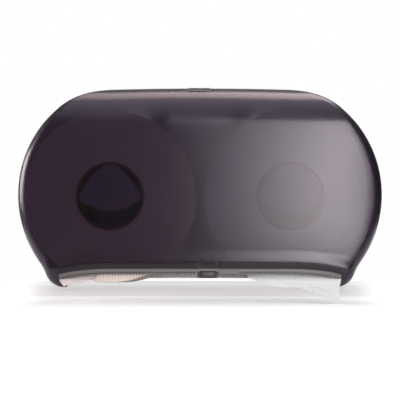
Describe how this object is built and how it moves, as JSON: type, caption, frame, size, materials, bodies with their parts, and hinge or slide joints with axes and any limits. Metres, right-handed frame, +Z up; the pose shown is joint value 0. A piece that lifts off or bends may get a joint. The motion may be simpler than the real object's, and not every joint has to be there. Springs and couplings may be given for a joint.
{
  "type": "jumbo toilet roll dispenser",
  "caption": "Twin jumbo toilet roll dispenser: smoked cover hinged on a wall plate, toothed tear bars, keyed lock, hubs and two large rolls.",
  "frame": {"origin": "on the wall plane, in the middle of the four wall screws, at the height of the roll hubs", "axes": "+X to the user's right, +Y into the wall, +Z up"},
  "size_m": [0.4878, 0.136, 0.2998],
  "materials": {
    "smoked_cover": "satin, smoked and slightly pearly",
    "smoked_bar": "satin smoke grey",
    "grey_plastic": "moulded light grey",
    "dark_plastic": "moulded, near black",
    "steel": "zinc plated",
    "card": "wound grey card",
    "paper": "soft white tissue"
  },
  "bodies": {
    "wall_unit": {"back_plate": "grey_plastic", "plate_rim": "grey_plastic", "plate_ribs": "grey_plastic", "left_hub_base": "grey_plastic", "right_hub_base": "grey_plastic", "left_hub": "grey_plastic", "right_hub": "grey_plastic", "left_hub_screws": "steel", "right_hub_screws": "steel", "left_hinge_bracket": "grey_plastic", "right_hinge_bracket": "grey_plastic", "bracket_screws": "steel", "hinge_rod": "steel", "rod_clips": "steel", "lock_arm": "grey_plastic", "arm_screws": "steel", "strike_plate": "steel", "left_tail": "paper", "right_tail": "paper"},
    "cover": {"front_cover": "smoked_cover", "hinge_lugs": "grey_plastic", "left_tear_bar": "smoked_bar", "right_tear_bar": "smoked_bar", "bar_rivets": "dark_plastic", "lock_housing": "dark_plastic", "top_clip": "dark_plastic"},
    "bolt": {"lock_bolt": "steel"},
    "left_roll": {"left_core": "card", "left_paper": "paper"},
    "right_roll": {"right_core": "card", "right_paper": "paper"}
  },
  "joints": [
    {"name": "cover_hinge", "type": "hinge", "parent": "wall_unit", "child": "cover", "pos_m": [0, -0.022, 0.15], "axis": [-1, 0, 0], "range_deg": [0, 95]},
    {"name": "lock_slide", "type": "slide", "parent": "cover", "child": "bolt", "axis": [0, 0, 1], "range_m": [0, 0.008]},
    {"name": "left_roll_spin", "type": "hinge", "parent": "wall_unit", "child": "left_roll", "pos_m": [-0.1185, -0.0735, -0.001], "axis": [0, 1, 0], "continuous": true},
    {"name": "right_roll_spin", "type": "hinge", "parent": "wall_unit", "child": "right_roll", "pos_m": [0.1185, -0.0735, -0.001], "axis": [0, 1, 0], "continuous": true}
  ]
}
